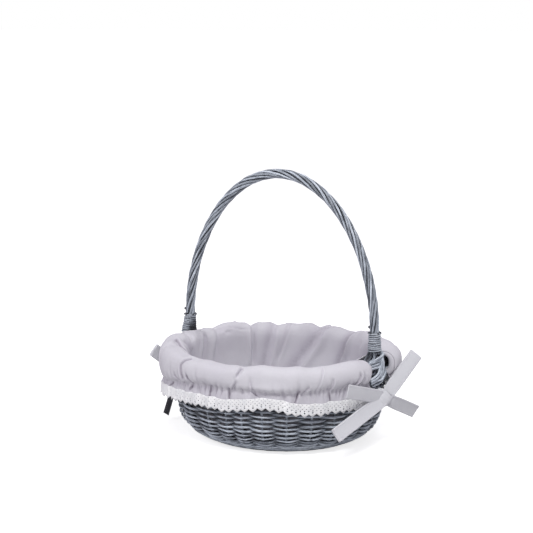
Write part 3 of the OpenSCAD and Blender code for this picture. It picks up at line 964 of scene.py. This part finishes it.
def liner_sheet(name, start, end, nodes, shrinks, hems):
    """The liner of one side in one sheet: up the inside, over the border and down to the frill."""
    spacing = 0.8 / ARC
    theta = np.linspace(start, end, int((end - start) / spacing))
    fine = []
    for crease in OUTER_CREASES:
        turn = [math.radians(degrees) for degrees, _ in crease[0]]
        fine.append(np.arange(min(turn) - 2.4 / ARC, max(turn) + 2.4 / ARC, 0.4 / ARC))
    extra = np.concatenate(fine)
    theta = np.unique(np.round(np.concatenate([theta, extra[(extra > start) & (extra < end)]]), 5))
    keep = np.concatenate([[True], np.diff(theta) > 0.25 / ARC])
    theta = theta[keep]
    s = cut_steps(0, CUT_LENGTH)
    a, z, shade = liner_surface(theta, s)
    share = np.ones(len(theta))
    for gap, shrink in ((theta - start, shrinks[0]), (end - theta, shrinks[1])):
        near = 1 - np.clip(gap * ARC / END_ROUND, 0, 1)
        share = share * (1 - shrink * (1 - np.sqrt(1 - near**2)))
    a, z = draw_in(a, z, s, share)
    sheet = oval(a, theta[:, None], z)
    for first in (True, False):
        at = start if first else end
        plain_a, plain_z, plain_shade = liner_surface(np.array([at]), s)
        for size, step in hems[0] if first else hems[1]:
            ba, bz = draw_in(plain_a, plain_z, s, np.array([size]))
            here = on_roll_end(s)
            angle = at + (-step if first else step) / ARC * here
            column = oval(ba, angle, bz)
            sheet = np.concatenate([column, sheet] if first else [sheet, column])
            # the tucked-in column of a hem gets painted shade where it turns under
            hem_shade = np.clip(plain_shade + 0.9 * (step == TUCK) * here, 0, 1)
            shade = np.concatenate([hem_shade, shade] if first else [shade, hem_shade])
    rows, columns = sheet.shape[0], sheet.shape[1]
    flat = np.stack(np.broadcast_arrays(
        (np.arange(rows) * COLUMN_CLOTH)[:, None], s[None, :]), -1).reshape(-1, 2)
    obj = make_object(name, sheet.reshape(-1, 3), grid_faces(rows, columns), LINER_CLOTH,
                      [("fold", "FLOAT", shade)], uv=flat)
    thicken(obj, CLOTH)
    place(obj, "liner_cloth", *nodes)


# Top hem of the side panels: distance from the leg's middle towards the back, half length, height.
LEFT_HEM = [(-36, 118, 104), (-28, 119.5, 106.5), (-20, 120, 108), (-13.5, 118.5, 109.2),
            (-10, 112.5, 109.6), (-5, 108.6, 109.3), (0, 107.9, 108.8), (4, 108.2, 108),
            (9, 108.6, 106.5), (16, 109.2, 104.5), (24, 109.6, 102)]
RIGHT_HEM = [(-36, 109.6, 99), (-28, 109.4, 101), (-12, 108.8, 102.5), (0, 108.4, 102.5),
             (9, 108.6, 102.5), (16, 109.2, 101), (24, 109.6, 99)]
PANEL_OVERLAP = 7     # the panel reaches this far under the sheets beside it
PANEL_GAP = 1.3       # and lies this much inside them


def side_panel(name, start, end, node, hem):
    """The liner beside a handle foot: it ends in a hem at the top instead of folding over."""
    overlap = PANEL_OVERLAP / ARC
    theta = np.linspace(start - overlap, end + overlap, 80)
    s = cut_steps(0, THROAT + 6)
    a, z, shade = liner_surface(theta, s)
    along = RATIO * RIM_A * np.sin(theta)
    y, hem_a, hem_z = zip(*hem)
    bend = window(s, THROAT + 6, THROAT + 60, 9)[None, :]
    rise = window(s, THROAT + 6, THROAT + 60, 30)[None, :]
    a = a - PANEL_GAP
    a = a + (np.interp(along, y, hem_a)[:, None] - a[:, -1:]) * bend
    z = z + (np.interp(along, y, hem_z)[:, None] - z[:, -1:]) * rise
    a[:, -2] += 0.35
    sheet = oval(a, theta[:, None], z)
    flat = np.stack(np.broadcast_arrays((np.arange(len(theta)) * 0.6)[:, None], s[None, :]), -1)
    # the painted shade fades out towards the hem
    obj = make_object(name, sheet.reshape(-1, 3), grid_faces(len(theta), len(s)), LINER_CLOTH,
                      [("fold", "FLOAT", shade * (1 - bend))], uv=flat.reshape(-1, 2))
    thicken(obj, 0.9)
    place(obj, "liner_cloth", node)


def floor_panel():
    """The liner's floor: an oval of cloth that lies on the base, with soft ripples."""
    rng = np.random.default_rng(60)
    a_edge = float(_cut[0, 0]) + 0.6
    z_edge = float(_cut[0, 1])
    n, rings = 96, 16
    angle = np.arange(n) * TURN / n
    points, uv = [(0, 0, z_edge + 0.2)], [(0, 0)]
    for r in range(1, rings + 1):
        share = r / rings
        bump = ripple(angle, [(3, 0.35), (5, 0.3), (8, 0.2)], rng) * (1 - share) * share * 2
        ring = oval(a_edge * share, angle, z_edge + 0.2 + bump + 0.3 * share**6)
        points += ring.tolist()
        uv += (ring[:, :2]).tolist()
    faces = [(0, 1 + j, 1 + (j + 1) % n) for j in range(n)]
    for r in range(rings - 1):
        for j in range(n):
            k = (j + 1) % n
            faces.append((1 + r * n + j, 1 + (r + 1) * n + j, 1 + (r + 1) * n + k, 1 + r * n + k))
    obj = make_object("liner_floor_cloth", points, faces, LINER_CLOTH, uv=uv)
    thicken(obj, CLOTH)
    place(obj, "liner_cloth", "liner_floor")


# ---------------------------------------------------------------- lace

TIP_PITCH = 8.4
CELLS = 4              # cells of the crochet across one point
LACE_ROWS = 5
CELL_HIGH = 2.3
CORNERS = 8            # points round a cell, and round its hole
TIP_DEPTH = 3.6
# Radius of the hole in each cell, by row from the top and by place within one point.
HOLES = [[0.0, 0.42, 0.0, 0.42], [0.42, 0.0, 0.42, 0.0], [0.0, 0.50, 0.0, 0.50],
         [0.62, 0.0, 0.62, 0.0], [0.0, 0.0, 0.88, 0.0]]


def lace_strip(name, start, end, node):
    """Crochet edging: rows of cells, some with a round eyelet, ending in a zigzag of points."""
    length = (end - start) * ARC
    tips = int(round(length / TIP_PITCH))
    columns = tips * CELLS
    wide = length / columns
    points, faces, index = [], [], {}

    def vertex(x, y):
        key = (round(x * 8), round(y * 40))
        if key not in index:
            index[key] = len(points)
            points.append((x, y))
        return index[key]

    for c in range(columns):
        for r in range(LACE_ROWS):
            x0, x1 = c * 1.0, c + 1.0
            y0, y1 = r * CELL_HIGH, (r + 1) * CELL_HIGH
            xm, ym = (x0 + x1) / 2, (y0 + y1) / 2
            rim = [vertex(x, y) for x, y in ((x0, y0), (xm, y0), (x1, y0), (x1, ym),
                                             (x1, y1), (xm, y1), (x0, y1), (x0, ym))]
            hole = HOLES[r][c % CELLS]
            if not hole:
                faces.append(tuple(rim))
                continue
            ring = []
            for k in range(CORNERS):
                turn = TURN * (k / CORNERS) - math.pi * 0.75
                ring.append(len(points))
                points.append((xm + hole / wide * math.cos(turn), ym + hole * math.sin(turn)))
            for k in range(CORNERS):
                after = (k + 1) % CORNERS
                faces.append((rim[k], rim[after], ring[after], ring[k]))
    foot = LACE_ROWS * CELL_HIGH
    halves = 2 * CELLS
    for t in range(tips - 1):
        base = t * CELLS + 0.5
        top = [vertex(base + k / 2, foot) for k in range(halves + 1)]
        low = [top[0]]
        for k in range(1, halves):
            drop = TIP_DEPTH * (1 - abs(2 * k / halves - 1)) ** 0.9
            low.append(len(points))
            points.append((base + k / 2, foot + drop))
        low.append(top[-1])
        for k in range(halves):
            face = [top[k], top[k + 1], low[k + 1], low[k]]
            faces.append(tuple(dict.fromkeys(face)))
    flat = np.array(points, float)
    theta = start + flat[:, 0] / columns * (end - start)
    drop = flat[:, 1]
    grid = np.linspace(start, end, columns * 2 + 1)
    hem_a, hem_z, _ = liner_surface(grid, np.array([CUT_LENGTH - 1.6, CUT_LENGTH]))
    lift = np.interp(theta, grid, hem_a[:, 0])
    spread = sum(frill * bell(turned(np.degrees(theta), middle), half)
                 for middle, half, _, frill in BULGES)
    top_z = np.interp(theta, grid, hem_z[:, 0]) - 0.6
    rng = np.random.default_rng(61)
    sway = ripple(theta, [(23, 0.45), (37, 0.4), (61, 0.2)], rng) * drop / 13
    mean = ELASTIC_A + 3.2 + spread
    a = mean + (lift - mean) * np.exp(-drop / 9) + 0.75 - 0.11 * drop + sway + 0.35 * spread * drop / 14
    a = np.maximum(a, wall_a(top_z - drop) + 1.0)
    place_at = oval(a, theta, top_z - drop * 0.985)
    uv = np.stack([theta * ARC, drop], 1)
    obj = make_object(name, place_at, faces, LACE, uv=uv)
    thicken(obj, 0.55, 0.0)
    place(obj, "lace", node)


# ---------------------------------------------------------------- bows

TIE_WIDTH = 15.5
HEM = 2.1
TIE_THICK = 1.0
TIE_START = 3.2       # a tie begins this far from the middle of its knot
KNOT_RIGHT = (131.5, -4, 57)
KNOT_LEFT = (-131.5, 4, 57)
TOWARD_VIEWER = np.array([0.43, -0.88, 0.19])     # the way the bows face
ALONG_BOW = np.array([-0.90, -0.44, 0.0])


def strap_frame(knot, heading, climb, roll):
    turn = (Matrix.Rotation(math.radians(heading), 4, "Z")
            @ Matrix.Rotation(-math.radians(climb), 4, "Y")
            @ Matrix.Rotation(math.radians(roll), 4, "X"))
    return np.array(Matrix.Translation(Vector(knot)) @ turn)


def to_frame(matrix, points):
    return np.asarray(points) @ matrix[:3, :3].T + matrix[:3, 3]


def ribbon_mesh(path, width, hem_ends):
    """A flat tie along a path in its own XZ plane, in rings: hems raised, stitch lines sunk."""
    path = np.asarray(path, float)
    tangent = unit(np.gradient(path, axis=0))
    normal = np.stack([-tangent[:, 2], np.zeros(len(path)), tangent[:, 0]], 1)
    cross = [(-1, 0, 0.0), (-1, 0.35, 0.32), (-1, 1.1, 0.5), (-1, HEM, 0.5), (-1, HEM + 0.25, 0.36),
             (-1, HEM + 0.5, 0.42), (-1, 4.2, 0.44), (0, 0, 0.46)]
    cross = cross + [(1, inset, h) for _, inset, h in reversed(cross[:-1])]
    travel = travelled(path)
    rings, uv = [], []
    for i in range(len(path)):
        half = width[i] / 2
        near_end = min([abs(travel[i] - travel[e]) for e in hem_ends] or [99])
        end_thick = 1.0 if near_end > HEM else 1.12
        top, low, top_uv = [], [], []
        for sign, inset, h in cross:
            y = sign * (half - inset * half / (TIE_WIDTH / 2)) if sign else 0.0
            rise = normal[i] * h * TIE_THICK * end_thick
            middle = path[i] + np.array([0, y, 0])
            top.append(middle + rise)
            low.append(middle - rise)
            top_uv.append((travel[i], y))
        ring = top + low[-2:0:-1]
        rings.append(ring)
        uv.append(top_uv + top_uv[-2:0:-1])
    n, m = len(rings), len(rings[0])
    faces = []
    for i in range(n - 1):
        for j in range(m):
            k = (j + 1) % m
            faces.append((i * m + j, (i + 1) * m + j, (i + 1) * m + k, i * m + k))
    half_ring = len(cross)
    for end, flip in ((0, False), ((n - 1) * m, True)):
        for j in range(half_ring - 1):
            other = (m - j) % m
            other_next = (m - j - 1) % m
            face = list(dict.fromkeys([end + j, end + j + 1, end + other_next, end + other]))
            faces.append(tuple(reversed(face)) if flip else tuple(face))
    return np.array(rings).reshape(-1, 3), faces, np.array(uv).reshape(-1, 2), normal, travel


def stitches(threads, matrix, path, width, normal, travel):
    """Stitches along both hems, on both faces."""
    pitch, length = 2.7, 1.8
    for face in (1, -1):
        for sign in (-1, 1):
            at = 4.0
            while at < travel[-1] - 2:
                spots = []
                for t in (at, at + length / 2, at + length):
                    p = np.array([np.interp(t, travel, path[:, i]) for i in range(3)])
                    nrm = np.array([np.interp(t, travel, normal[:, i]) for i in range(3)])
                    half = np.interp(t, travel, width) / 2 * (1 - (HEM + 0.25) / (TIE_WIDTH / 2))
                    bulge = 0.10 if t == at + length / 2 else -0.06
                    spots.append(p + np.array([0, sign * half, 0])
                                 + nrm * face * (0.40 * TIE_THICK + bulge))
                threads.add(to_frame(matrix, spots), 0.2, matrix[:3, 1], 5, 0.5)
                at += pitch


def tie(side, title, knot, measures, threads, seed):
    """One loop or tail of a bow. Returns its piece and the length of its flat cloth."""
    reach, heading, climb, roll, sink = measures
    looped = title.startswith("loop")
    cloth = SHADED_TIE if (side, title) == ("left", "tail_front") else TIE_CLOTH
    rng = np.random.default_rng(seed)
    forward = 4.6 if title == "loop_front" else 0.0
    matrix = strap_frame(np.array(knot) + forward * TOWARD_VIEWER, heading, climb, roll)
    start = TIE_START
    if looped:
        out = np.linspace(start, reach - 1.6, 40)
        share = (out - start) / (reach - start)
        puff = 0.75 + 0.75 * np.sin(math.pi * np.clip(share, 0, 1)) ** 0.8 + 0.15 * share
        wave = 0.5 * np.sin(share * 5 + rng.uniform(0, TURN)) * share
        top = np.stack([out, 0 * out, puff + wave], 1)
        low = np.stack([out, 0 * out, -puff + wave], 1)[::-1]
        turn = [(reach - 0.75, 0, 0.75 * puff[-1] + wave[-1]), (reach - 0.4, 0, wave[-1]),
                (reach - 0.75, 0, -0.75 * puff[-1] + wave[-1])]
        path = smooth_curve(np.concatenate([top, turn, low]), 120)
    else:
        out = np.linspace(start, reach, 60)
        share = (out - start) / (reach - start)
        level = sink * np.clip((out - start) / 9, 0, 1) ** 0.8
        wave = 0.9 * np.sin(share * 4.2 + rng.uniform(0, TURN)) * share * (1.15 - share)
        path = np.stack([out, 0 * out, level + wave], 1)
    x = path[:, 0]
    narrow = 0.88 + 0.12 * np.clip((x - start) / 16, 0, 1) ** 0.7
    width = TIE_WIDTH * narrow
    ends = () if looped else (len(path) - 1,)
    points, faces, uv, normal, travel = ribbon_mesh(path, width, ends)
    pinch = np.exp(-np.abs(points[:, 0] - start) / 5.5)
    lateral = points[:, 1]
    points = points + np.array([0, 0, 1.0]) * (pinch * 0.7 * np.sin(lateral * 0.9 + seed))[:, None]
    cup = 0.012 * (lateral**2) * np.clip((points[:, 0] - start) / 20, 0, 1) * (1 if looped else -0.6)
    points[:, 2] += cup - cup.mean()
    name = "bow_%s_%s" % (side, title)
    obj = make_object(name + "_cloth", to_frame(matrix, points), faces, cloth, uv=uv)
    place(obj, "tie_cloth", name)
    stitches(threads, matrix, path, width, normal, travel)
    return obj, travel[-1]


def knot_wrap(name, node, knot, heading, climb, roll):
    """The band round the crossing: a strip wound once and a little more, creased by the pull."""
    matrix = strap_frame(np.array(knot) + 3.0 * TOWARD_VIEWER + 3.6 * ALONG_BOW, heading, climb, roll)
    turns, n, rings = 1.12, 80, 26
    half_width, half_across, half_deep = 7.4, 9.6, 5.6
    points, uv = [], []
    for k in range(n):
        t = k / (n - 1)
        a = TURN * turns * t + 2.4
        for v in np.linspace(-1, 1, rings):
            size = 0.80 + 0.20 * (1 - abs(v) ** 3) ** 0.6
            crease = (0.26 * math.sin(1.7 * v * math.pi + 0.9 * math.sin(a))
                      + 0.09 * math.sin(6 * v + 1.6 * math.cos(a) + 0.8))
            grow = size * (0.94 + 0.08 * t)
            points.append((v * half_width + 0.7 * math.sin(a) - 0.8 * math.cos(a),
                           (half_across * grow + 0.5 * crease) * math.cos(a),
                           (half_deep * grow + crease) * math.sin(a)))
            uv.append((a * 6.5, v * 6.4))
    obj = make_object(name, to_frame(matrix, points), grid_faces(n, rings), TIE_CLOTH, uv=uv)
    thicken(obj, 0.7)
    place(obj, "tie_cloth", node)
    return obj


# Each bow: knot, the three angles of its band, and for each tie its reach, three angles and sink.
BOWS = {
    "right": (KNOT_RIGHT, (-105, -26, -52), {
        "loop_front": (93, -103, -14.5, -58.5, 0.0), "loop_back": (68, 73, 36, -129, 0.0),
        "tail_front": (77, -101.5, 17, -93, 1.4), "tail_back": (52, 67, -26, -70.5, -3.2)}),
    "left": (KNOT_LEFT, (75, -26, -52), {
        "loop_front": (55, -105, 36.5, -103, 0.0), "loop_back": (80, 77, -14.5, -58.5, 0.0),
        "tail_front": (56, -94, -61, -98, -3.2), "tail_back": (62, 78.5, 18, -93, 3.2)}),
}
# How far each bow is shifted so that its straps lie clear of the lace and the liner.
CLEAR = {"right": 4.6 * TOWARD_VIEWER, "left": -4.0 * TOWARD_VIEWER + np.array([-2.2, 0, 0])}


def make_bows():
    seed = 70
    for side, (knot, band, straps) in BOWS.items():
        knot = np.array(knot) + CLEAR[side]
        threads = Rods(seed)
        wrap_piece = knot_wrap("bow_%s_wrap" % side, "bow_%s_knot" % side, knot, *band)
        for title, measures in straps.items():
            seed += 1
            tie(side, title, knot, measures, threads, seed)
        place(threads.build("bow_%s_stitching" % side, THREAD), "tie_cloth")


# ---------------------------------------------------------------- making the basket

make_wall()
make_foot()
make_stakes()
make_base()
make_border()
make_handle()
make_collar(-1, "collar_left_cane", "handle_wrap_left", 8.3, 2.2)
make_collar(1, "collar_right_cane", "handle_wrap_right", 6.9, 0.3)
make_foot_rods(-1, "handle_foot_left_rods", "handle_foot_left")
make_foot_rods(1, "handle_foot_right_rods", "handle_foot_right")
floor_panel()
liner_sheet("liner_fold_front", LEFT_FRONT, RIGHT_FRONT,
            ["liner_panel_front", "liner_roll_front", "ruffle_front"], (0.08, 0.26),
            (CLOSED_HEM, CLOSED_HEM))
liner_sheet("liner_fold_back", RIGHT_BACK, LEFT_BACK,
            ["liner_panel_back", "liner_roll_back", "ruffle_back"], (0.05, 0.22),
            (OPEN_HEM, CLOSED_HEM))
side_panel("liner_side_right", RIGHT_FRONT, RIGHT_BACK, "liner_panel_right", RIGHT_HEM)
side_panel("liner_side_left", LEFT_BACK, LEFT_FRONT + TURN, "liner_panel_left", LEFT_HEM)
lace_strip("lace_edging_front", LEFT_FRONT, RIGHT_FRONT, "lace_front")
lace_strip("lace_edging_back", RIGHT_BACK, LEFT_BACK, "lace_back")
make_bows()

for part, material in (("handle_core", CORE_WILLOW), ("elastic_front", ELASTIC),
                       ("elastic_back", ELASTIC)):
    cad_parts[part].data.materials.clear()
    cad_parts[part].data.materials.append(material)


# ---------------------------------------------------------------- floor, light and camera

def make_floor():
    """A pale floor that the camera sees as bright as the backdrop, with the object's faint shadow."""
    m = Shading("pale_floor", 0.9)
    soft = m.noise(m.place(), 3, 2, 0.5)
    material = m.made({"Base Color": m.ramp(soft, [(0.3, (0.62,) * 3), (0.7, (0.65,) * 3)]),
                       "Specular IOR Level": 0.0})
    plain = m.shader.outputs["BSDF"]
    glow = m.add("ShaderNodeEmission", {"Color": (1, 1, 1, 1), "Strength": 0.74})
    both = m.add("ShaderNodeAddShader", {0: plain, 1: glow.outputs["Emission"]})
    m.show(both.outputs["Shader"], plain, "Material Output")
    mesh = bpy.data.meshes.new("floor")
    size = 60.0
    mesh.from_pydata([(-size, -size, 0), (size, -size, 0), (size, size, 0), (-size, size, 0)], [],
                     [(0, 1, 2, 3)])
    mesh.materials.append(material)
    link("floor", mesh)


def direction(azimuth, elevation):
    a, e = math.radians(azimuth), math.radians(elevation)
    return Vector((math.sin(a) * math.cos(e), -math.cos(a) * math.cos(e), math.sin(e)))


def aim(obj, back, distance, height):
    """Puts a lamp or camera at a distance in direction back, facing a point at a height."""
    obj.location = Vector((0, 0, height)) + back * distance
    obj.rotation_mode = "QUATERNION"
    obj.rotation_quaternion = back.to_track_quat("Z", "Y")


def soft_light(name, azimuth, elevation, distance, size, power, colour=(1, 1, 1)):
    lamp = bpy.data.lights.new(name, "AREA")
    lamp.energy = power
    lamp.size = size
    lamp.color = colour
    aim(link(name, lamp), direction(azimuth, elevation), distance, LIT_HEIGHT)


def make_world():
    """A white backdrop for the camera, and a dimmer, faintly lilac room for the light."""
    world = bpy.data.worlds.new("studio")
    tree = Tree(world)
    backdrop = tree.nodes["Background"]
    tree.feed(backdrop, {"Color": (1, 1, 1, 1), "Strength": 1.0})
    room = tree.add("ShaderNodeBackground", {"Color": (0.945, 0.91, 1.0, 1), "Strength": 0.52})
    tree.show(backdrop.outputs["Background"], room.outputs["Background"], "World Output")
    bpy.context.scene.world = world


AZIMUTH, ELEVATION, DISTANCE = 26.4, 11.0, 1.6
AIM_HEIGHT = 0.16       # the point the camera faces
LIT_HEIGHT = 0.12       # and the point the lamps face


def make_camera():
    lens = bpy.data.cameras.new("camera")
    lens.sensor_width = 36
    lens.lens = 95.2
    lens.shift_x = -0.0245
    lens.shift_y = 0.0535
    lens.clip_start, lens.clip_end = 0.05, 200
    camera = link("camera", lens)
    aim(camera, direction(AZIMUTH, ELEVATION), DISTANCE, AIM_HEIGHT)
    bpy.context.scene.camera = camera


make_floor()
make_world()
soft_light("key", AZIMUTH + 6, 52, 1.7, 0.4, 14.5, (0.99, 1.0, 0.98))
soft_light("fill", AZIMUTH - 65, 34, 1.8, 0.6, 7, (0.98, 0.96, 1.0))
soft_light("top", AZIMUTH + 100, 60, 1.8, 0.6, 4)
make_camera()
bpy.context.scene.view_settings.view_transform = "Standard"
